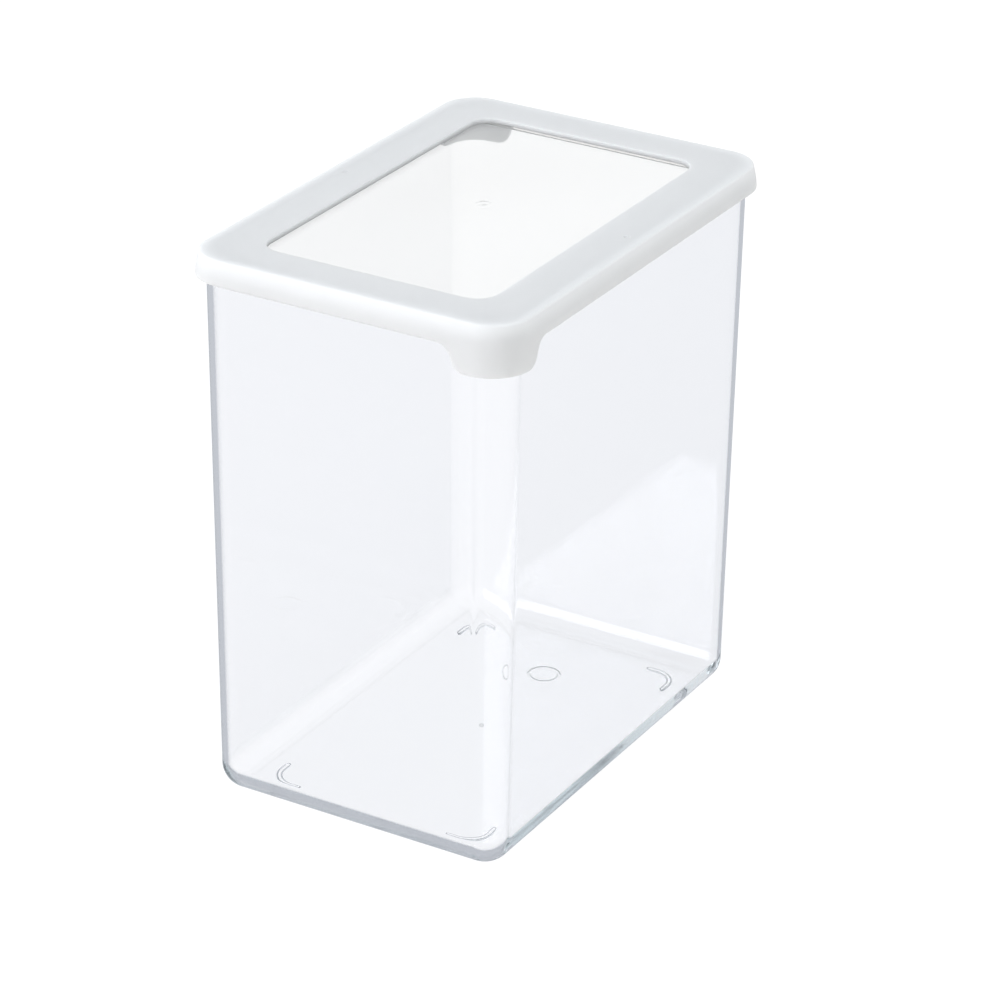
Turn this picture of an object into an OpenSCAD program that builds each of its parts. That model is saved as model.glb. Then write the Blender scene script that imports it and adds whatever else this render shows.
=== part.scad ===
// Clear rectangular dry-food box with a press-on lid: a clear window plate
// overmoulded with a soft frame that has two pull tabs on opposite corners.
// +X is across the width, +Y along the depth, +Z up. The origin is on the
// surface that the box stands on, under its middle.

/* [Overall] */
// Width across the bottom edge of the lid's skirt
lid_width = 125; // [110:1:150]
// Depth across the bottom edge of the lid's skirt
lid_depth = 180; // [150:1:220]
// Height from the feet to the top of the lid
height = 202; // [120:1:260]

/* [Container] */
// Thickness of the upright walls
wall = 2; // [1.6:0.1:2]
// Thickness of the floor
floor_thickness = 2.6; // [2:0.1:3.5]
// Outside radius of the upright corners at the rim
corner_radius = 12; // [12:0.5:14]
// How far the skirt stands out past the rim on each side
reveal = 3.4; // [3.2:0.1:4]
// How far each side leans in between the rim and the underside
draft_run = 2.2; // [0.5:0.1:2.2]
// Outside radius where the sides meet the underside
heel_radius = 9; // [4:0.5:9.5]
// Radius of the cove between the floor and the inside of the walls
cove_radius = 7.8; // [2:0.2:7.8]

/* [Feet] */
// Height of the stacking ribs under the floor
foot_height = 1; // [0.6:0.1:1.6]
// Width of a stacking rib
foot_width = 1.5; // [1:0.1:2.5]
// Length of a rib along each side of its corner
foot_length = 13; // [10.5:0.5:16]
// Outside radius of a rib's bend
foot_bend = 9; // [5:0.5:9]
// Sideways gap between a rib and the window opening that it nests in
foot_gap_side = 0.6; // [0.4:0.1:3]
// The same gap at the short ends
foot_gap_end = 1.3; // [0.4:0.1:3]

/* [Lid frame] */
// Height of the skirt below the top of the lid
skirt_height = 8.7; // [8:0.1:12]
// How far the skirt spreads between its top edge and its bottom edge
skirt_flare = 1.2; // [0:0.1:2]
// Thickness of the skirt
skirt_thickness = 1.6; // [1.2:0.1:1.8]
// Radius of the upright corners at the skirt's bottom edge
skirt_radius = 14.6; // [12:0.2:16]
// Radius that rounds the top edge
edge_radius = 0.8; // [0.3:0.1:1.2]
// Width of the border along the long sides, from the skirt's bottom edge inwards
border_side = 19.3; // [16:0.1:24]
// Width of the border along the short ends
border_end = 18.3; // [16:0.1:24]
// Radius of the window opening's corners
opening_radius = 8; // [4:0.5:10]
// Thickness of the soft seat between the rim and the window plate
seat_thickness = 1.2; // [0.8:0.1:2]
// Thickness of the soft sleeve round the plug wall
sleeve_thickness = 0.7; // [0.5:0.1:1]

/* [Pull tabs] */
// How far a tab hangs below the skirt
tab_drop = 9; // [8:0.5:14]
// Distance from the box's corner to where the tab's edge starts to drop, on the long side
tab_reach_side = 24; // [22:0.5:34]
// The same distance on the short end
tab_reach_end = 26.5; // [22:0.5:34]
// Radius of the two bends in the tab's edge
tab_bend = 5; // [2:0.1:5]
// Steepness of the tab's edge between the two bends, in degrees
tab_slope = 70; // [60:1:75]

/* [Window] */
// Depth of the window's edge below the top of the lid
window_recess = 1.8; // [1:0.1:3]
// How far the window bulges up in its middle
window_crown = 1.6; // [0.2:0.1:3]
// Thickness of the window plate
plate_thickness = 2; // [1.5:0.1:3]
// Thickness of the plug wall under the plate
plug_wall = 1.5; // [1.2:0.1:2]
// How far the plug wall hangs below the plate
plug_depth = 5; // [4:0.5:9]
// Diameter of the dimple at the plate's gate mark
gate_dimple = 6; // [4:0.5:8]

/* [Hidden] */
$fn = 96;
arc_steps = 6;
past = 1;                // how far a cutting body runs past what it cuts

lid_x = lid_width / 2;
lid_y = lid_depth / 2;
rim_x = lid_x - reveal;
rim_y = lid_y - reveal;
plate_top = height - window_recess;
plate_bottom = plate_top - plate_thickness;
rim_z = plate_bottom - seat_thickness;
skirt_z = height - skirt_height;

underside = foot_height;
floor_top = underside + floor_thickness;
lean = draft_run / (rim_z - underside);      // run of the draft for each unit of height

open_x = lid_x - border_side;
open_y = lid_y - border_end;
sleeve_gap = 0.5;                            // between the sleeve and the container's wall
plug_gap = wall + sleeve_gap + sleeve_thickness;
plug_x = rim_x - plug_gap;
plug_y = rim_y - plug_gap;
plug_radius = corner_radius - plug_gap;
plate_grip = 2;                              // how far the plate runs out past the plug wall
sleeve_short = 1;                            // how far the sleeve stops above the plug wall's end
crown_inset = 2.4;                           // keeps the bulge clear of the opening's corners
crown_columns = 8;
crown_rows = 12;
gate_radius = 1;
gate_depth = 0.3;
frame_gate_in = 7.7;                         // frame gate marks, in from the skirt's edge
frame_gate_radius = 0.75;
gate_ring_width = 0.5;
maker_ring_radius = 6;
maker_ring_width = 1.1;
maker_ring_y = rim_y * 0.52;

// Points along an arc
function arc(x, z, radius, from, to) = [
    for (k = [0:arc_steps])
        let (a = from + (to - from) * k / arc_steps)
        [x + radius * cos(a), z + radius * sin(a)]
];

// Distance of the container's outer face from the corner axis at a height
function outer_reach(z) = corner_radius - (rim_z - z) * lean;

// Half-section of the container's outside, from the corner axis outwards
module outer_section() {
    heel = outer_reach(underside + heel_radius);
    polygon(concat(
        [[0, underside]],
        arc(heel - heel_radius, underside + heel_radius, heel_radius, -90, 0),
        [[corner_radius, rim_z], [0, rim_z]]
    ));
}

// Half-section of the inside, with the cove that slopes up from the floor
module cavity_section() {
    foot_of_wall = outer_reach(floor_top + cove_radius) - wall;
    polygon(concat(
        [[0, floor_top]],
        arc(foot_of_wall - cove_radius, floor_top + cove_radius, cove_radius, -90, 0),
        [[outer_reach(rim_z + past) - wall, rim_z + past], [0, rim_z + past]]
    ));
}

// Runs a half-section along the four sides and turns it round the four corner axes
module run_round(axis_x, axis_y) {
    for (turn = [0, 180])
        rotate([0, 0, turn]) {
            translate([axis_x, axis_y, 0])
                rotate_extrude(angle = 90) children();
            translate([-axis_x, axis_y, 0])
                rotate([0, 0, 90]) rotate_extrude(angle = 90) children();
            translate([axis_x, axis_y, 0])
                rotate([90, 0, 0]) linear_extrude(2 * axis_y) children();
            translate([-axis_x, axis_y, 0])
                rotate([90, 0, 90]) linear_extrude(2 * axis_x) children();
        }
}

// Fills the middle that a run of half-sections leaves open
module core(axis_x, axis_y, from, to) {
    translate([-axis_x, -axis_y, from])
        cube([2 * axis_x, 2 * axis_y, to - from]);
}

module rounded_rectangle(half_x, half_y, radius) {
    square([2 * half_x, 2 * (half_y - radius)], center = true);
    square([2 * (half_x - radius), 2 * half_y], center = true);
    for (side_x = [-1, 1], side_y = [-1, 1])
        translate([side_x * (half_x - radius), side_y * (half_y - radius)])
            circle(radius);
}

module slab(half_x, half_y, radius, from, to) {
    translate([0, 0, from])
        linear_extrude(to - from) rounded_rectangle(half_x, half_y, radius);
}

// Cuts a shallow ring into the underside
module ring_groove(radius, width) {
    translate([0, 0, underside - past])
        difference() {
            cylinder(h = past + gate_depth, r = radius);
            translate([0, 0, -past]) cylinder(h = gate_depth + 3 * past, r = radius - width);
        }
}

// One L-shaped stacking rib, with its outer bend at the corner (out_x, out_y)
module foot_rib(out_x, out_y) {
    arm = foot_length - foot_bend - foot_width / 2;
    middle = foot_bend - foot_width / 2;
    translate([out_x - foot_bend, out_y - foot_bend, 0]) {
        rotate_extrude(angle = 90)
            translate([foot_bend - foot_width, 0]) square([foot_width, foot_height]);
        translate([foot_bend - foot_width, -arm, 0]) cube([foot_width, arm, foot_height]);
        translate([-arm, foot_bend - foot_width, 0]) cube([arm, foot_width, foot_height]);
        translate([middle, -arm, 0]) cylinder(h = foot_height, d = foot_width);
        translate([-arm, middle, 0]) cylinder(h = foot_height, d = foot_width);
    }
}

module container() {
    axis_x = rim_x - corner_radius;
    axis_y = rim_y - corner_radius;
    color([0.90, 0.93, 0.96, 0.4]) {
        difference() {
            union() {
                run_round(axis_x, axis_y) outer_section();
                core(axis_x, axis_y, underside, rim_z);
            }
            run_round(axis_x, axis_y) cavity_section();
            core(axis_x, axis_y, floor_top, rim_z + past);
            ring_groove(gate_radius + gate_ring_width, gate_ring_width);
            translate([0, maker_ring_y, 0]) ring_groove(maker_ring_radius, maker_ring_width);
        }
        for (flip_x = [0, 1], flip_y = [0, 1])
            mirror([flip_x, 0, 0]) mirror([0, flip_y, 0])
                foot_rib(open_x - foot_gap_side, open_y - foot_gap_end);
    }
}

// Height of the bulge at a grid place, from 0 at the edges to window_crown in the middle
function bulge(i, j) =
    window_crown * (1 - pow(2 * i / crown_columns - 1, 2)) * (1 - pow(2 * j / crown_rows - 1, 2));

// A pillow-shaped body that bulges up from a rectangle, on a flat base
module pillow(half_x, half_y, base, edge) {
    columns = crown_columns + 1;
    corner_count = columns * (crown_rows + 1);
    function at(i, j) = i + j * columns;
    function place(i, j, z) = [
        half_x * (2 * i / crown_columns - 1),
        half_y * (2 * j / crown_rows - 1),
        z
    ];
    top_points = [for (j = [0:crown_rows], i = [0:crown_columns]) place(i, j, edge + bulge(i, j))];
    base_points = [for (j = [0:crown_rows], i = [0:crown_columns]) place(i, j, base)];
    top_faces = [for (j = [0:crown_rows - 1], i = [0:crown_columns - 1], half = [0, 1])
        half == 0 ? [at(i, j), at(i, j + 1), at(i + 1, j + 1)]
                  : [at(i, j), at(i + 1, j + 1), at(i + 1, j)]];
    base_faces = [for (f = top_faces) [for (k = [2:-1:0]) f[k] + corner_count]];
    rim = concat(
        [for (i = [0:crown_columns - 1]) at(i, 0)],
        [for (j = [0:crown_rows - 1]) at(crown_columns, j)],
        [for (i = [crown_columns:-1:1]) at(i, crown_rows)],
        [for (j = [crown_rows:-1:1]) at(0, j)]
    );
    side_faces = [for (k = [0:len(rim) - 1])
        let (a = rim[k], b = rim[(k + 1) % len(rim)])
        [a, b, b + corner_count, a + corner_count]];
    polyhedron(concat(top_points, base_points), concat(top_faces, base_faces, side_faces));
}

module lid_window() {
    crown_x = open_x - crown_inset;
    crown_y = open_y - crown_inset;
    gate_z = plate_top + window_crown - gate_depth;
    color([0.93, 0.95, 0.97, 0.4])
        difference() {
            union() {
                slab(plug_x + plate_grip, plug_y + plate_grip, plug_radius + plate_grip,
                     plate_bottom, plate_top);
                slab(plug_x, plug_y, plug_radius, plate_bottom - plug_depth, plate_bottom);
                pillow(crown_x, crown_y, plate_top - plate_thickness / 2, plate_top);
            }
            slab(plug_x - plug_wall, plug_y - plug_wall, plug_radius - plug_wall,
                 plate_bottom - plug_depth - past, plate_bottom);
            pillow(crown_x, crown_y, plate_bottom - past, plate_bottom);
            difference() {
                translate([0, 0, gate_z]) cylinder(h = gate_depth + past, d = gate_dimple);
                translate([0, 0, gate_z - past]) cylinder(h = gate_depth + 3 * past, r = gate_radius);
            }
        }
}

// Half-section of the lid's outside, from the corner axis outwards, down to a height
module frame_section(down_to) {
    top_reach = skirt_radius - skirt_flare;
    low_reach = skirt_radius;
    polygon(concat(
        [[0, down_to], [low_reach, down_to], [low_reach, skirt_z]],
        arc(top_reach - edge_radius, height - edge_radius, edge_radius, 0, 90),
        [[0, height]]
    ));
}

// Half-section of the space inside the skirt, up to the seat on the rim
module skirt_hollow_section() {
    polygon([
        [0, skirt_z - tab_drop - past],
        [skirt_radius - skirt_thickness, skirt_z - tab_drop - past],
        [skirt_radius - skirt_thickness, skirt_z],
        [skirt_radius - skirt_thickness - skirt_flare * 0.4, rim_z],
        [0, rim_z]
    ]);
}

// What is left beside a tab: everything under the skirt and outside the S-shaped edge.
// Its first coordinate is the distance from the box's corner.
module beside_tab(reach) {
    straight = (tab_drop - 2 * tab_bend * (1 - cos(tab_slope))) / sin(tab_slope);
    run = 2 * tab_bend * sin(tab_slope) + straight * cos(tab_slope);
    low = skirt_z - tab_drop;
    far = lid_depth;
    polygon(concat(
        [[far, skirt_z]],
        arc(reach, skirt_z - tab_bend, tab_bend, 90, 90 + tab_slope),
        arc(reach - run, low + tab_bend, tab_bend, tab_slope - 90, -90),
        [[reach - run, low - past], [far, low - past]]
    ));
}

module lid_frame() {
    axis_x = lid_x - skirt_radius;
    axis_y = lid_y - skirt_radius;
    sleeve_x = plug_x + sleeve_thickness;
    sleeve_y = plug_y + sleeve_thickness;
    sleeve_end = plate_bottom - plug_depth + sleeve_short;
    color([0.95, 0.95, 0.96]) {
        difference() {
            union() {
                run_round(axis_x, axis_y) frame_section(skirt_z - tab_drop);
                core(axis_x, axis_y, skirt_z - tab_drop, height);
            }
            run_round(axis_x, axis_y) skirt_hollow_section();
            core(axis_x, axis_y, skirt_z - tab_drop - past, rim_z);
            slab(open_x, open_y, opening_radius, plate_top, height + past);
            slab(plug_x + plate_grip, plug_y + plate_grip, plug_radius + plate_grip,
                 plate_bottom, plate_top);
            slab(plug_x, plug_y, plug_radius, rim_z - past, plate_bottom);
            for (turn = [0, 180])
                rotate([0, 0, turn]) {
                    translate([lid_x, 0, 0]) mirror([1, 0, 0]) rotate([90, 0, 0])
                        linear_extrude(lid_y + past) beside_tab(tab_reach_end);
                    translate([0, -lid_y, 0]) rotate([90, 0, 90])
                        linear_extrude(lid_x + past) beside_tab(tab_reach_side);
                }
            for (side = [-1, 1])
                translate([side * (lid_x - frame_gate_in), 0, height - gate_depth])
                    cylinder(h = gate_depth + past, r = frame_gate_radius);
        }
        difference() {
            slab(sleeve_x, sleeve_y, plug_radius + sleeve_thickness, sleeve_end, rim_z);
            slab(plug_x, plug_y, plug_radius, sleeve_end - past, rim_z + past);
        }
    }
}

container();
lid_window();
lid_frame();
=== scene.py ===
"""Looks of the clear dry-food box: a moulded clear tub and a press-on lid, whose clear
window plate sits in a soft white frame with a pull tab on two opposite corners.
All sizes are in metres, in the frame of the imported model: +X across, +Y deep, +Z up."""

import math
from collections import namedtuple

import bmesh
import bpy
from mathutils import Matrix, Vector


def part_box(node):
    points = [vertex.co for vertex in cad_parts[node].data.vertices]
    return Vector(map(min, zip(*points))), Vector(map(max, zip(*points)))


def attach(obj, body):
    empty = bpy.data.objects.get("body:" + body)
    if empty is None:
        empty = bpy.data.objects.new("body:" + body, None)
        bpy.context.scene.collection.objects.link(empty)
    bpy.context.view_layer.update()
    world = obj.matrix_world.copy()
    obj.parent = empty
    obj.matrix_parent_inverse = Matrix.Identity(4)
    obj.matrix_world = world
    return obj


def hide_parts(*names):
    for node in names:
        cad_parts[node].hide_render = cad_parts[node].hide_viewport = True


MM = 0.001
QUARTER = math.pi / 2

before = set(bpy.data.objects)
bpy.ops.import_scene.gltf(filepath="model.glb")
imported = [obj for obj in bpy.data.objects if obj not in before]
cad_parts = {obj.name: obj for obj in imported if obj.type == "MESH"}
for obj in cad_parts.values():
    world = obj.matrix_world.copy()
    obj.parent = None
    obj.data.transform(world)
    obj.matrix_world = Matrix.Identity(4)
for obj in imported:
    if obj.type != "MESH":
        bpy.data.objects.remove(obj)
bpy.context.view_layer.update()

# ---------------------------------------------------------------- sizes from the frame

tub_low, tub_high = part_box("container")
window_low, window_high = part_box("lid_window")
lid_low, lid_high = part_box("lid_frame")

TOP = lid_high.z
RIM = tub_high.z

# The tub
WALL = 2 * MM
FLOOR = 2.6 * MM
FOOT_HEIGHT = 1 * MM
UNDERSIDE = tub_low.z + FOOT_HEIGHT
FLOOR_TOP = UNDERSIDE + FLOOR
TUB_CORNER = 12 * MM
DRAFT_RUN = 2.2 * MM
HEEL = 9 * MM
COVE = 7.8 * MM
RIM_EDGE = 0.35 * MM
# The tub stops this far short of the lid's seat, so that the two faces do not coincide
RIM_GAP = 0.05 * MM

# The stacking ribs, and the two moulded rings under the floor, each as its outer radius, its
# inner radius and its depth
RIB_WIDTH = 1.5 * MM
RIB_LENGTH = 13 * MM
RIB_BEND = 9 * MM
RIB_X = 42.6 * MM
RIB_Y = 70.4 * MM
GATE_RING = (1.3 * MM, 0.85 * MM, 0.2 * MM)
MAKER_RING = (6.0 * MM, 4.9 * MM, 0.1 * MM)
MAKER_RING_Y = 45 * MM

# The lid frame
SKIRT_RADIUS = 14.6 * MM
SKIRT_FLARE = 1.2 * MM
SKIRT_THICKNESS = 1.6 * MM
SKIRT_BOTTOM = TOP - 8.7 * MM
SKIRT_EDGE = 0.45 * MM
CREASE = 0.8 * MM
TAB_DROP = lid_low.z
TAB_BEND = 5 * MM
TAB_SLOPE = math.radians(70)
TAB_REACH_SIDE = 24 * MM
TAB_REACH_END = 26.5 * MM
OPENING_X = lid_high.x - 19.3 * MM
OPENING_Y = lid_high.y - 18.3 * MM
OPENING_RADIUS = 8 * MM
OPENING_EDGE = 0.3 * MM
SLEEVE = 0.7 * MM
SLEEVE_BOTTOM = window_low.z + 1 * MM
DIMPLE_IN = 7.7 * MM
DIMPLE_RADIUS = 1 * MM
DIMPLE_DEPTH = 0.45 * MM

# The window plate
PLATE_TOP = TOP - 1.8 * MM
PLATE_BOTTOM = PLATE_TOP - 2 * MM
PLATE_GRIP = 2 * MM
# The plate is this much smaller than its pocket in the frame
PLATE_GAP = 0.05 * MM
PLUG_WALL = 1.5 * MM
PLUG_X = window_high.x - PLATE_GRIP
PLUG_Y = window_high.y - PLATE_GRIP
PLUG_RADIUS = 8.8 * MM
CROWN = window_high.z - PLATE_TOP
CROWN_INSET = 2.4 * MM
GATE_DIMPLE = 2.95 * MM

# Rings of vertices this far from an edge keep the flats beside it flat in the smooth shading
SUPPORT = 0.5 * MM

# ---------------------------------------------------------------- mesh kit

Ring = namedtuple("Ring", "half_x half_y radius z")


def around(ring, place):
    """The point of a rounded rectangle at a place. Each quarter turn is 2 long: 1 along the side
    that ends at a corner, and 1 round that corner. Place 0 starts the side that faces +X."""
    quarter = math.floor(place / 2) % 4
    share = place % 2
    long, deep = (ring.half_x, ring.half_y) if quarter % 2 == 0 else (ring.half_y, ring.half_x)
    if share <= 1:
        x = long
        y = (deep - ring.radius) * (2 * share - 1)
    else:
        angle = (share - 1) * QUARTER
        x = long - ring.radius * (1 - math.cos(angle))
        y = deep - ring.radius * (1 - math.sin(angle))
    return Matrix.Rotation(quarter * QUARTER, 3, "Z") @ Vector((x, y, ring.z))


def offset(ring, out, up=0.0):
    """A ring moved outwards, so that its corners' radius grows too, and up."""
    return Ring(ring.half_x + out, ring.half_y + out, max(ring.radius + out, 0), ring.z + up)


def arc(count, start, end):
    """Angles from start to end in degrees, both included, as (cosine, sine) pairs."""
    turns = [math.radians(start + (end - start) * k / count) for k in range(count + 1)]
    return [(math.cos(t), math.sin(t)) for t in turns]


def spread(low, high, count):
    """Values from low to high, both included."""
    return [low + (high - low) * k / count for k in range(count + 1)]


def places(corner_steps, side_shares):
    """Places all round: the given shares of each side, and even steps round each corner."""
    quarter = side_shares + [1 + k / corner_steps for k in range(corner_steps)]
    return [2 * turn + share for turn in range(4) for share in quarter]


def add_loop(bm, points):
    """New vertices at these points, in order."""
    return [bm.verts.new(p) for p in points]


def loft(bm, loops):
    """Joins closed loops of equal length, each to the next, with quads."""
    for low, high in zip(loops, loops[1:]):
        for k in range(len(low)):
            after = (k + 1) % len(low)
            bm.faces.new((low[k], low[after], high[after], high[k]))


def loop_edges(bm, loop):
    """The edges of a closed loop, made where they are missing."""
    edges = []
    for k, vert in enumerate(loop):
        pair = (vert, loop[(k + 1) % len(loop)])
        edges.append(bm.edges.get(pair) or bm.edges.new(pair))
    return edges


def fill_between(bm, loops):
    """Fills the flat region between loops; a loop inside another is a hole."""
    edges = [e for loop in loops for e in loop_edges(bm, loop)]
    bmesh.ops.triangle_fill(bm, use_beauty=True, use_dissolve=False, edges=edges)


def circle(x, y, z, radius, count):
    """Points of a level circle."""
    turns = [2 * math.pi * k / count for k in range(count)]
    return [Vector((x + radius * math.cos(t), y + radius * math.sin(t), z)) for t in turns]


def piece(name, bm, material, body, node):
    """Turns a bmesh into a smooth piece that stands for a CAD node."""
    bmesh.ops.recalc_face_normals(bm, faces=bm.faces)
    mesh = bpy.data.meshes.new(name)
    bm.to_mesh(mesh)
    bm.free()
    mesh.polygons.foreach_set("use_smooth", [True] * len(mesh.polygons))
    mesh.materials.append(material)
    made = bpy.data.objects.new(name, mesh)
    bpy.context.scene.collection.objects.link(made)
    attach(made, body)
    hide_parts(node)
    return made


# ---------------------------------------------------------------- the tub


def tub_reach(z):
    """Distance of the tub's outer face from the axis of its rounded corners."""
    return TUB_CORNER - DRAFT_RUN * (RIM - z) / (RIM - UNDERSIDE)


def tub_ring(reach, z):
    """A ring whose corners share the axes of the tub's corners, at this distance from them."""
    return Ring(
        tub_high.x - TUB_CORNER + reach, tub_high.y - TUB_CORNER + reach, reach, z
    )


def tub_rings():
    """The tub's section: out under the floor, up the outside, over the rim and down inside."""
    heel_z = UNDERSIDE + HEEL
    heel_reach = tub_reach(heel_z) - HEEL
    cove_z = FLOOR_TOP + COVE
    cove_reach = tub_reach(cove_z) - WALL - COVE
    rim_z = RIM - RIM_GAP - RIM_EDGE
    rim_out = tub_reach(rim_z)
    under = tub_ring(heel_reach, UNDERSIDE)
    rings = [under._replace(half_x=under.half_x - SUPPORT, half_y=under.half_y - SUPPORT)]
    rings += [tub_ring(heel_reach + HEEL * c, heel_z + HEEL * s) for c, s in arc(18, -90, 0)]
    rings += [tub_ring(tub_reach(z), z) for z in spread(heel_z + SUPPORT, rim_z - SUPPORT, 8)]
    for c, s in arc(4, 0, 90):
        rings.append(tub_ring(rim_out - RIM_EDGE * (1 - c), rim_z + RIM_EDGE * s))
    for c, s in arc(4, 90, 180):
        rings.append(tub_ring(rim_out - WALL + RIM_EDGE * (1 + c), rim_z + RIM_EDGE * s))
    rings += [
        tub_ring(tub_reach(z) - WALL, z) for z in spread(rim_z - SUPPORT, cove_z + SUPPORT, 8)
    ]
    rings += [tub_ring(cove_reach + COVE * c, cove_z + COVE * s) for c, s in arc(18, 0, -90)]
    floor = rings[-1]
    rings.append(floor._replace(half_x=floor.half_x - SUPPORT, half_y=floor.half_y - SUPPORT))
    return rings


def bead_outline(flip_x, flip_y, inset, z):
    """Outline of an L-shaped rib at one corner of the floor, drawn in by an inset."""
    middle = RIB_BEND - RIB_WIDTH / 2
    arm = RIB_LENGTH - RIB_BEND - RIB_WIDTH / 2
    half = RIB_WIDTH / 2 - inset
    outer = [((middle + half) * c, (middle + half) * s) for c, s in arc(12, 0, 90)]
    far_end = [(-arm - half * s, middle + half * c) for c, s in arc(8, 0, 180)]
    inner = [((middle - half) * c, (middle - half) * s) for c, s in arc(12, 90, 0)]
    near_end = [(middle + half * c, -arm + half * s) for c, s in arc(8, 180, 360)]
    points = outer + far_end + inner + near_end
    bend_x = RIB_X - RIB_BEND
    bend_y = RIB_Y - RIB_BEND
    return [Vector((flip_x * (bend_x + x), flip_y * (bend_y + y), z)) for x, y in points]


def add_rib(bm, flip_x, flip_y):
    """A rounded rib under the floor. Its top loop lies in the underside."""
    rows = [
        (-0.7, 1),
        (-0.25, 1),
        (-0.07, 0.93),
        (0, 0.75),
        (0, 0.45),
        (0.06, 0.22),
        (0.2, 0.06),
        (0.4, 0),
    ]
    loops = [
        add_loop(bm, bead_outline(flip_x, flip_y, inset * MM, tub_low.z + FOOT_HEIGHT * height))
        for inset, height in rows
    ]
    loft(bm, loops)
    bm.faces.new(loops[-1])
    return loops[0]


def add_ring_groove(bm, x, y, ring):
    """A shallow moulded ring in the underside. Both of its border loops lie in the underside."""
    outer, inner, depth = ring
    slope = 0.12 * MM
    level = 0.3 * MM
    rows = [
        (outer + level, 0),
        (outer, 0),
        (outer - slope, depth),
        (inner + slope, depth),
        (inner, 0),
        (inner - level, 0),
    ]
    loops = [add_loop(bm, circle(x, y, UNDERSIDE + up, radius, 48)) for radius, up in rows]
    loft(bm, loops)
    return [loops[0], loops[-1]]


def make_tub(material):
    """The tub, with its ribs and moulded rings let into the underside."""
    bm = bmesh.new()
    where = places(24, [0, 0.006, 0.25, 0.5, 0.75, 0.994])
    loops = [add_loop(bm, [around(ring, p) for p in where]) for ring in tub_rings()]
    loft(bm, loops)
    bm.faces.new(loops[-1])
    flat = [loops[0]]
    for flip_x in (-1, 1):
        for flip_y in (-1, 1):
            flat.append(add_rib(bm, flip_x, flip_y))
    flat += add_ring_groove(bm, 0, 0, GATE_RING)
    flat += add_ring_groove(bm, 0, MAKER_RING_Y, MAKER_RING)
    fill_between(bm, flat)
    return piece("clear_tub", bm, material, "box", "container")


# ---------------------------------------------------------------- the window plate


def crown(x, y):
    """Height of the plate's bulge, level at the edges of the opening."""
    across = min(abs(x) / (OPENING_X - CROWN_INSET), 1)
    along = min(abs(y) / (OPENING_Y - CROWN_INSET), 1)
    return CROWN * (1 - across**2) ** 2 * (1 - along**2) ** 2


def crowned(points, z):
    """Points raised from a height by the plate's bulge."""
    return [Vector((p.x, p.y, z + crown(p.x, p.y))) for p in points]


def even_circle(radius, count):
    """Points of a circle, the first on the diagonal, so that they match a ring's places."""
    turns = [2 * math.pi * k / count - QUARTER / 2 for k in range(count)]
    return [Vector((radius * math.cos(t), radius * math.sin(t), 0)) for t in turns]


def between(first, last, share):
    """Points part of the way from one loop to another."""
    return [a.lerp(b, share) for a, b in zip(first, last)]


def window_loops(where):
    """The plate's section: out over the crowned top, round the edge, down and up the plug wall
    and in under the crown."""
    nub = 0.75 * MM
    dimple_rows = [
        (0.2 * MM, 0.05 * MM),
        (nub, 0.05 * MM),
        (nub + 0.2 * MM, 0.07 * MM),
        (GATE_DIMPLE - 0.8 * MM, 0.07 * MM),
        (GATE_DIMPLE - 0.3 * MM, 0.04 * MM),
        (GATE_DIMPLE, 0.01 * MM),
        (GATE_DIMPLE + 0.25 * MM, 0),
    ]
    loops = [
        crowned(even_circle(radius, len(where)), PLATE_TOP - down) for radius, down in dimple_rows
    ]
    middle = even_circle(dimple_rows[-1][0], len(where))
    opening = Ring(OPENING_X, OPENING_Y, OPENING_RADIUS, 0)
    border = [around(opening, p) for p in where]
    for share in spread(0, 1, 24)[1:]:
        loops.append(crowned(between(middle, border, share**1.3), PLATE_TOP))
    edge = 0.3 * MM
    plug_bottom = window_low.z
    plug = Ring(PLUG_X - PLATE_GAP, PLUG_Y - PLATE_GAP, PLUG_RADIUS - PLATE_GAP, 0)
    plate = offset(plug, PLATE_GRIP)
    inner = offset(plug, -PLUG_WALL)
    root = 1 * MM
    flat = PLATE_TOP - PLATE_GAP
    rings = [offset(plate, -2 * edge, flat)]
    rings += [offset(plate, edge * (c - 1), flat - edge * (1 - s)) for c, s in arc(4, 90, 0)]
    low = PLATE_BOTTOM + PLATE_GAP
    rings += [offset(plate, edge * (c - 1), low + edge * (1 + s)) for c, s in arc(4, 0, -90)]
    rings += [offset(plug, edge * (1 + c), low - edge * (1 - s)) for c, s in arc(4, 90, 180)]
    rings += [offset(plug, 0, z) for z in spread(low - 2 * edge, plug_bottom + edge, 3)[:-1]]
    rings += [offset(plug, edge * (c - 1), plug_bottom + edge * (1 + s)) for c, s in arc(4, 0, -90)]
    rings += [
        offset(inner, edge * (1 + c), plug_bottom + edge * (1 + s)) for c, s in arc(4, -90, -180)
    ]
    rings += [offset(inner, 0, z) for z in spread(plug_bottom + 2 * edge, low - root, 3)[:-1]]
    rings += [offset(inner, root * (c - 1), low - root * (1 - s)) for c, s in arc(6, 0, 90)]
    rings.append(offset(inner, -root - edge, low))
    loops += [[around(ring, p) for p in where] for ring in rings]
    border = [around(rings[-1], p) for p in where]
    for share in spread(0, 1, 24)[1:]:
        loops.append(crowned(between(border, middle, share**0.8), low))
    return loops


def make_window(material):
    """The window plate with its plug wall."""
    bm = bmesh.new()
    where = places(12, [0, 0.01] + spread(0, 1, 12)[1:-1] + [0.99])
    loops = [add_loop(bm, points) for points in window_loops(where)]
    loft(bm, loops)
    bm.faces.new(loops[0])
    bm.faces.new(loops[-1])
    return piece("window_plate", bm, material, "lid", "lid_window")


# ---------------------------------------------------------------- the soft lid frame

# A station of the skirt: its distance round the skirt, the height of the skirt's bottom edge
# there, and the direction across the edge into the skirt, in the skirt's own surface.
Station = namedtuple("Station", "along z into_along into_up")

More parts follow.
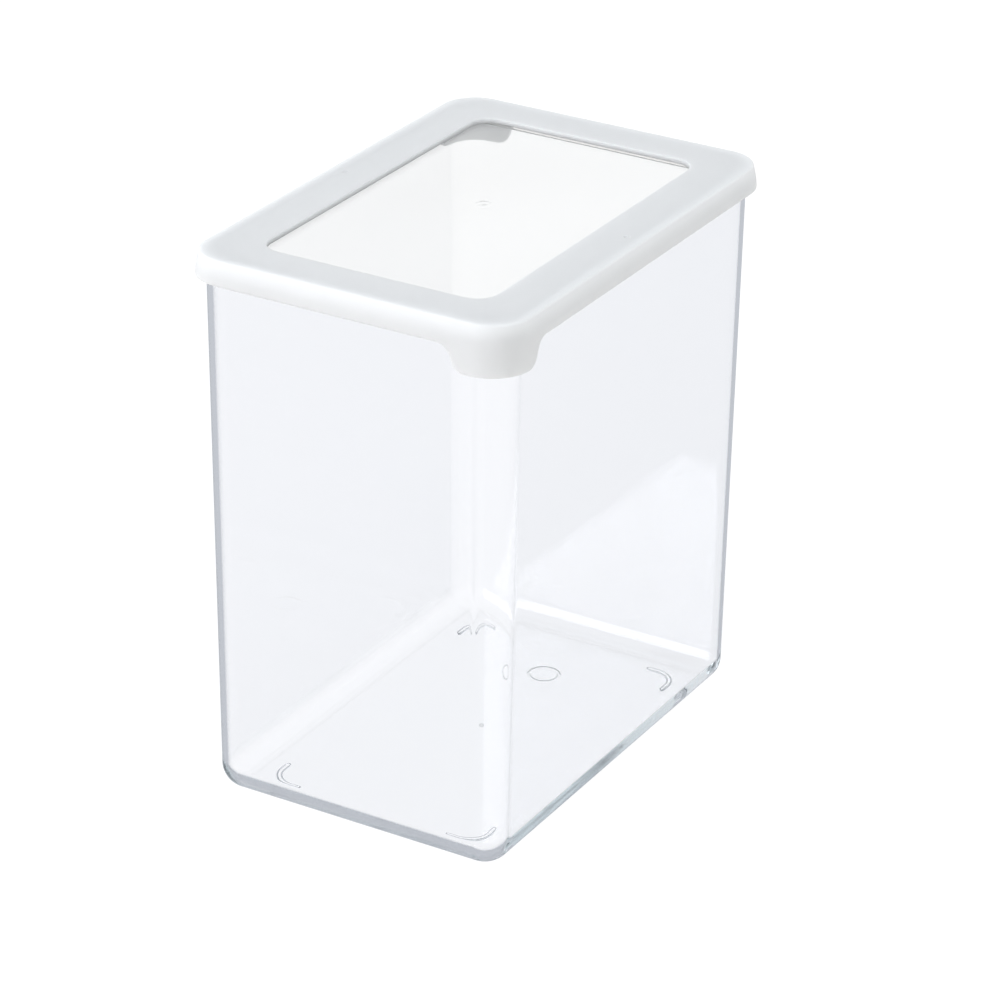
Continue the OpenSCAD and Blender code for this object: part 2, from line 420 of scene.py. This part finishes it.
SIDE_LONG = 2 * (lid_high.y - SKIRT_RADIUS)
SIDE_SHORT = 2 * (lid_high.x - SKIRT_RADIUS)
CORNER_RUN = QUARTER * SKIRT_RADIUS
HALF_ROUND = SIDE_LONG + SIDE_SHORT + 2 * CORNER_RUN


def skirt_place(along):
    """The place round a ring that is at this distance round the skirt."""
    half, along = divmod(along, HALF_ROUND)
    for start, length in (
        (0, SIDE_LONG),
        (1, CORNER_RUN),
        (2, SIDE_SHORT),
        (3, CORNER_RUN),
    ):
        if along <= length or start == 3:
            return 4 * half + start + along / length
        along -= length


def skirt_reach(z):
    """Distance of the skirt's outer face from the axis of its rounded corners."""
    share = min(max((TOP - CREASE - z) / (TOP - CREASE - SKIRT_BOTTOM), 0), 1)
    return SKIRT_RADIUS - SKIRT_FLARE * (1 - math.sin(share * QUARTER))


def tab_edge():
    """The S-shaped edge of a tab, from the skirt's bottom edge down to the tab's, as
    (distance towards the corner, height, direction into the skirt) rows."""
    rise = SKIRT_BOTTOM - TAB_DROP
    straight = (rise - 2 * TAB_BEND * (1 - math.cos(TAB_SLOPE))) / math.sin(TAB_SLOPE)
    run = 2 * TAB_BEND * math.sin(TAB_SLOPE) + straight * math.cos(TAB_SLOPE)
    slope = math.degrees(TAB_SLOPE)
    upper = [
        (-TAB_BEND * c, SKIRT_BOTTOM - TAB_BEND * (1 - s), -c, s)
        for c, s in arc(9, 90, 90 + slope)
    ]
    lower = [
        (run - TAB_BEND * c, TAB_DROP + TAB_BEND * (1 + s), c, -s)
        for c, s in arc(9, slope - 90, -90)
    ]
    return upper + lower


def stations():
    """Stations all round the skirt. The second half repeats the first, half a turn on."""
    side_edge = [
        Station(TAB_REACH_SIDE - SKIRT_RADIUS - run, z, -into, up)
        for run, z, into, up in reversed(tab_edge())
    ]
    end_start = SIDE_LONG + CORNER_RUN + SIDE_SHORT + SKIRT_RADIUS - TAB_REACH_END
    end_edge = [Station(end_start + run, z, into, up) for run, z, into, up in tab_edge()]
    corner_start = SIDE_LONG
    side = spread(side_edge[-1].along, corner_start, 12)[1:]
    corner = spread(corner_start, corner_start + CORNER_RUN, 16)[1:]
    end = spread(corner[-1], end_start, 6)[1:-1]
    level = [Station(a, SKIRT_BOTTOM, 0, 1) for a in side + corner + end]
    tab_start = end_edge[-1].along
    tab_end = HALF_ROUND + side_edge[0].along
    tab = [Station(a, TAB_DROP, 0, 1) for a in spread(tab_start, tab_end, 16)[1:-1]]
    half = side_edge + level + end_edge + tab
    return half + [s._replace(along=s.along + HALF_ROUND) for s in half]


def skirt_point(station, into, depth):
    """A point of the skirt: this far in from its bottom edge, and this deep behind its face."""
    z = station.z + into * station.into_up
    reach = skirt_reach(z) - depth
    return skirt_at(station.along + into * station.into_along, reach, z)


def skirt_at(along, reach, z):
    """A point at a distance round the skirt and a distance from the axis of its corners."""
    ring = Ring(lid_high.x - SKIRT_RADIUS + reach, lid_high.y - SKIRT_RADIUS + reach, reach, z)
    return around(ring, skirt_place(along))


def rise(station, into, depth, top_z, share):
    """A point between the skirt's edge and a level row above it, behind the face by a depth."""
    low_z = station.z + into * station.into_up
    low_along = station.along + into * station.into_along
    z = low_z + (top_z - low_z) * share
    along = low_along + (station.along - low_along) * share
    return skirt_at(along, skirt_reach(z) - depth, z)


def frame_loops(round_skirt):
    """The frame's section, from the border's outer edge down the skirt, round its bottom edge,
    up inside, down and up the sleeve, round the plate's pocket and up the opening's wall."""
    where = [skirt_place(s.along) for s in round_skirt]
    loops = []

    def level_ring(ring):
        loops.append([around(ring, p) for p in where])

    top_reach = skirt_reach(TOP)
    axis = Ring(lid_high.x - SKIRT_RADIUS, lid_high.y - SKIRT_RADIUS, 0, 0)
    level_ring(offset(axis, top_reach - CREASE - SUPPORT, TOP))
    for c, s in arc(6, 90, 0):
        level_ring(offset(axis, top_reach - CREASE * (1 - c), TOP - CREASE * (1 - s)))
    inset = 1.1 * MM
    for share in spread(1, 0, 10)[1:]:
        loops.append([rise(s, inset, 0, TOP - CREASE, share) for s in round_skirt])
    back = SKIRT_THICKNESS
    for c, s in arc(4, 0, 90):
        loops.append(
            [skirt_point(t, SKIRT_EDGE * (1 - s), SKIRT_EDGE * (1 - c)) for t in round_skirt]
        )
    for c, s in arc(4, 90, 0):
        loops.append(
            [skirt_point(t, SKIRT_EDGE * (1 - s), back - SKIRT_EDGE * (1 - c)) for t in round_skirt]
        )
    fillet = 0.5 * MM
    seat = RIM
    for share in spread(0, 1, 6):
        loops.append([rise(s, inset, back, seat - fillet, share) for s in round_skirt])
    seat_reach = skirt_reach(seat - fillet) - back
    for c, s in arc(4, 0, 90)[1:]:
        level_ring(offset(axis, seat_reach - fillet * (1 - c), seat - fillet * (1 - s)))
    plug = Ring(PLUG_X, PLUG_Y, PLUG_RADIUS, 0)
    sleeve = offset(plug, SLEEVE)
    for c, s in arc(4, 90, 180):
        level_ring(offset(sleeve, fillet * (1 + c), seat - fillet * (1 - s)))
    bead = 0.3 * MM
    bead_height = 1.5 * MM
    for k in range(1, 18):
        z = seat - fillet + (SLEEVE_BOTTOM - seat + 2 * fillet) * k / 17
        swell = max(math.cos((z - SLEEVE_BOTTOM) / bead_height * math.pi), 0)
        level_ring(offset(sleeve, bead * swell, z))
    tip = SLEEVE / 2
    for c, s in arc(5, 0, -180):
        level_ring(offset(sleeve, tip * (c - 1), SLEEVE_BOTTOM + tip * (1 + s)))
    level_ring(offset(plug, 0, PLATE_BOTTOM))
    level_ring(offset(plug, PLATE_GRIP, PLATE_BOTTOM))
    level_ring(offset(plug, PLATE_GRIP, PLATE_TOP))
    opening = Ring(OPENING_X, OPENING_Y, OPENING_RADIUS, 0)
    crisp = 0.04 * MM
    level_ring(offset(opening, 1.5 * MM, PLATE_TOP))
    level_ring(offset(opening, crisp, PLATE_TOP))
    level_ring(offset(opening, 0, PLATE_TOP))
    level_ring(offset(opening, 0, PLATE_TOP + crisp))
    for c, s in arc(5, 180, 90):
        level_ring(offset(opening, OPENING_EDGE * (1 + c), TOP - OPENING_EDGE * (1 - s)))
    level_ring(offset(opening, OPENING_EDGE + SUPPORT, TOP))
    return loops


def add_dimple(bm, x):
    """A small gate mark in the border: a shallow cup with a nub in it."""
    rows = [(1.4, 0), (1, 0), (0.8, 0.6), (0.6, 1), (0.42, 1), (0.3, 0.55), (0.1, 0.4)]
    loops = [
        add_loop(bm, circle(x, 0, TOP - DIMPLE_DEPTH * down, DIMPLE_RADIUS * share, 32))
        for share, down in rows
    ]
    loft(bm, loops)
    bm.faces.new(loops[-1])
    return loops[0]


def make_lid_frame(material):
    """The soft frame, with a gate mark on each long side of its border."""
    bm = bmesh.new()
    loops = [add_loop(bm, points) for points in frame_loops(stations())]
    loft(bm, loops)
    flat = [loops[0], loops[-1]]
    for side in (-1, 1):
        flat.append(add_dimple(bm, side * (lid_high.x - DIMPLE_IN)))
    fill_between(bm, flat)
    return piece("soft_lid_frame", bm, material, "lid", "lid_frame")


# ---------------------------------------------------------------- materials

# Clear plastic: how strongly it bends light, and the tint and strength of its absorption
PLASTIC_IOR = 1.57
PLASTIC_DEPTH_TINT = (0.25, 0.45, 0.5, 1)
PLASTIC_DEPTH_DENSITY = 2.5

# How far light wanders inside the soft white rubber
SOFT_SCATTER = 6 * MM

# The table's own light: as seen, as mirrored in the plastic, and as it lights matt surfaces
TABLE_GLOW = (0.98, 0.98, 0.985)
MIRRORED_GLOW = (0.46, 0.48, 0.52)
DIFFUSE_GLOW = (0.83, 0.82, 0.8)


def new_material(name):
    """A material with its nodes, its links and its shader."""
    material = bpy.data.materials.new(name)
    material.use_nodes = True
    nodes = material.node_tree.nodes
    return material, nodes, material.node_tree.links, nodes["Principled BSDF"]


def noise(nodes, links, coords, scale, detail=2.0, stretch=None):
    """A noise texture on the object's own coordinates, stretched along axes if asked."""
    texture = nodes.new("ShaderNodeTexNoise")
    texture.inputs["Scale"].default_value = scale
    texture.inputs["Detail"].default_value = detail
    source = coords.outputs["Object"]
    if stretch:
        mapping = nodes.new("ShaderNodeMapping")
        mapping.inputs["Scale"].default_value = stretch
        links.new(source, mapping.inputs["Vector"])
        source = mapping.outputs["Vector"]
    links.new(source, texture.inputs["Vector"])
    return texture.outputs["Fac"]


def ranged(nodes, links, source, low, high, to_low, to_high):
    """A value moved from one range to another, and held inside it."""
    node = nodes.new("ShaderNodeMapRange")
    node.inputs["From Min"].default_value = low
    node.inputs["From Max"].default_value = high
    node.inputs["To Min"].default_value = to_low
    node.inputs["To Max"].default_value = to_high
    links.new(source, node.inputs["Value"])
    return node.outputs["Result"]


def mixed_colour(nodes, links, factor, first, second):
    """A mix of two colours. Each is a constant or another node's output."""
    node = nodes.new("ShaderNodeMix")
    node.data_type = "RGBA"
    factor_in, first_in, second_in = (s for s in node.inputs if s.enabled)
    for colour, socket in ((first, first_in), (second, second_in)):
        if isinstance(colour, tuple):
            socket.default_value = (*colour, 1)
        else:
            links.new(colour, socket)
    links.new(factor, factor_in)
    return next(s for s in node.outputs if s.enabled)


def bumped(nodes, links, shader, height, strength, distance):
    """Lets a height ripple the shader's surface."""
    node = nodes.new("ShaderNodeBump")
    node.inputs["Strength"].default_value = strength
    node.inputs["Distance"].default_value = distance
    links.new(height, node.inputs["Height"])
    links.new(node.outputs["Normal"], shader.inputs["Normal"])


def clear_plastic(name, dull_tint, fresh_tint):
    """Moulded clear plastic: faint handling marks in its gloss and a cool tint in its depth."""
    material, nodes, links, shader = new_material(name)
    shader.inputs["Transmission Weight"].default_value = 1
    shader.inputs["IOR"].default_value = PLASTIC_IOR
    coords = nodes.new("ShaderNodeTexCoord")
    smudge = noise(nodes, links, coords, 26, 4)
    links.new(ranged(nodes, links, smudge, 0.4, 0.8, 0.0, 0.04), shader.inputs["Roughness"])
    tint = mixed_colour(nodes, links, smudge, dull_tint, fresh_tint)
    links.new(tint, shader.inputs["Base Color"])
    flow = noise(nodes, links, coords, 14, 2, (1, 1, 0.35))
    bumped(nodes, links, shader, flow, 0.15, 0.0002)
    depth = nodes.new("ShaderNodeVolumeAbsorption")
    depth.inputs["Color"].default_value = PLASTIC_DEPTH_TINT
    depth.inputs["Density"].default_value = PLASTIC_DEPTH_DENSITY
    links.new(depth.outputs["Volume"], nodes["Material Output"].inputs["Volume"])
    return material


def soft_white():
    """Soft white moulded rubber: a fine satin grain with slightly uneven tone."""
    material, nodes, links, shader = new_material("soft_white")
    shader.inputs["Subsurface Weight"].default_value = 1
    shader.inputs["Subsurface Radius"].default_value = (SOFT_SCATTER,) * 3
    shader.inputs["Subsurface Scale"].default_value = 1
    shader.inputs["Specular IOR Level"].default_value = 0.4
    coords = nodes.new("ShaderNodeTexCoord")
    tone = noise(nodes, links, coords, 18, 4)
    colour = mixed_colour(nodes, links, tone, (0.78, 0.79, 0.8), (0.82, 0.825, 0.83))
    links.new(colour, shader.inputs["Base Color"])
    links.new(ranged(nodes, links, tone, 0.3, 0.7, 0.42, 0.55), shader.inputs["Roughness"])
    grain = noise(nodes, links, coords, 2600, 3)
    bumped(nodes, links, shader, grain, 0.12, 0.00008)
    return material


def pale_floor():
    """A lit white table: mostly its own light, with a little of the light that falls on it.
    Its glow depends on the kind of ray: it is greyer in a mirror reflection, as if the table
    ended close to the box, which gives the clear plastic its edge lines. It is also a little
    dimmer as a light on matt surfaces."""
    material, nodes, links, shader = new_material("pale_floor")
    coords = nodes.new("ShaderNodeTexCoord")
    cloud = noise(nodes, links, coords, 1.2, 2)
    links.new(
        mixed_colour(nodes, links, cloud, (0.09, 0.09, 0.09), (0.11, 0.11, 0.11)),
        shader.inputs["Base Color"],
    )
    shader.inputs["Roughness"].default_value = 0.9
    shader.inputs["Specular IOR Level"].default_value = 0
    shader.inputs["Emission Strength"].default_value = 1
    path = nodes.new("ShaderNodeLightPath")
    mirrored = ranged(nodes, links, path.outputs["Glossy Depth"], 0, 1, 0, 1)
    glow = mixed_colour(nodes, links, mirrored, TABLE_GLOW, MIRRORED_GLOW)
    lighting = mixed_colour(nodes, links, path.outputs["Is Diffuse Ray"], glow, DIFFUSE_GLOW)
    links.new(lighting, shader.inputs["Emission Color"])
    return material


# ---------------------------------------------------------------- stage, light and camera

TABLE_RADIUS = 8

# The camera's direction from the middle of the box, its tilt, its distance and its lens
VIEW_AZIMUTH = math.radians(30.12)
VIEW_ELEVATION = math.radians(25.945)
VIEW_ROLL = math.radians(0.785)
VIEW_DISTANCE = 1406.6 * MM
VIEW_LENS = 146.46
# How far the camera stands to the right of that line and above it, without turning
VIEW_RIGHT = 6.75 * MM
VIEW_UP = -8.45 * MM


def make_floor():
    """A round table top, wide enough to reach past every view."""
    bm = bmesh.new()
    loop = add_loop(bm, circle(0, 0, 0, TABLE_RADIUS, 96))
    bm.faces.new(loop)
    mesh = bpy.data.meshes.new("floor")
    bm.to_mesh(mesh)
    bm.free()
    mesh.materials.append(pale_floor())
    floor = bpy.data.objects.new("floor", mesh)
    bpy.context.scene.collection.objects.link(floor)


def light_world():
    """A soft white dome, a little darker and warmer at the horizon."""
    world = bpy.data.worlds.new("studio")
    bpy.context.scene.world = world
    world.use_nodes = True
    nodes = world.node_tree.nodes
    links = world.node_tree.links
    coords = nodes.new("ShaderNodeTexCoord")
    split = nodes.new("ShaderNodeSeparateXYZ")
    links.new(coords.outputs["Generated"], split.inputs["Vector"])
    height = ranged(nodes, links, split.outputs["Z"], 0.0, 0.45, 0, 1)
    sky = mixed_colour(nodes, links, height, (0.84, 0.84, 0.83), (0.88, 0.91, 0.935))
    links.new(sky, nodes["Background"].inputs["Color"])
    nodes["Background"].inputs["Strength"].default_value = 1


def soft_light(name, place, aim, size, power):
    """A slightly cool rectangular lamp that faces its aim."""
    data = bpy.data.lights.new(name, "AREA")
    data.shape = "RECTANGLE"
    data.size = size[0]
    data.size_y = size[1]
    data.energy = power
    data.color = (0.96, 0.96, 1)
    lamp = bpy.data.objects.new(name, data)
    lamp.location = place
    lamp.rotation_mode = "QUATERNION"
    lamp.rotation_quaternion = (Vector(aim) - Vector(place)).to_track_quat("-Z", "Y")
    bpy.context.scene.collection.objects.link(lamp)


def make_camera():
    """A long lens that looks down on the near tab's corner, rolled very slightly."""
    back = Vector(
        (
            math.sin(VIEW_AZIMUTH) * math.cos(VIEW_ELEVATION),
            -math.cos(VIEW_AZIMUTH) * math.cos(VIEW_ELEVATION),
            math.sin(VIEW_ELEVATION),
        )
    )
    level = Vector((math.cos(VIEW_AZIMUTH), math.sin(VIEW_AZIMUTH), 0))
    upright = back.cross(level)
    right = math.cos(VIEW_ROLL) * level + math.sin(VIEW_ROLL) * upright
    up = back.cross(right)
    middle = Vector((0, 0, TOP / 2))
    data = bpy.data.cameras.new("camera")
    data.lens = VIEW_LENS
    data.clip_start = 0.05
    data.clip_end = 40
    camera = bpy.data.objects.new("camera", data)
    camera.matrix_world = Matrix.Translation(
        middle + VIEW_DISTANCE * back + VIEW_RIGHT * right + VIEW_UP * up
    ) @ Matrix((right, up, back)).transposed().to_4x4()
    bpy.context.scene.collection.objects.link(camera)
    bpy.context.scene.camera = camera


make_tub(clear_plastic("tub_plastic", (0.98, 0.985, 0.995), (0.99, 0.99, 1.0)))
make_window(clear_plastic("window_plastic", (0.995, 0.985, 0.965), (1.0, 0.995, 0.975)))
make_lid_frame(soft_white())
make_floor()
light_world()
soft_light("key", (-0.9, -1.4, 0.7), (0, 0, 0.12), (0.9, 0.9), 12)
make_camera()
bpy.context.scene.view_settings.view_transform = "Standard"
# Light that is mirrored many times inside the walls and the floor still comes out again
bpy.context.scene.cycles.glossy_bounces = 100
bpy.context.scene.cycles.transmission_bounces = 32
bpy.context.scene.cycles.max_bounces = 128
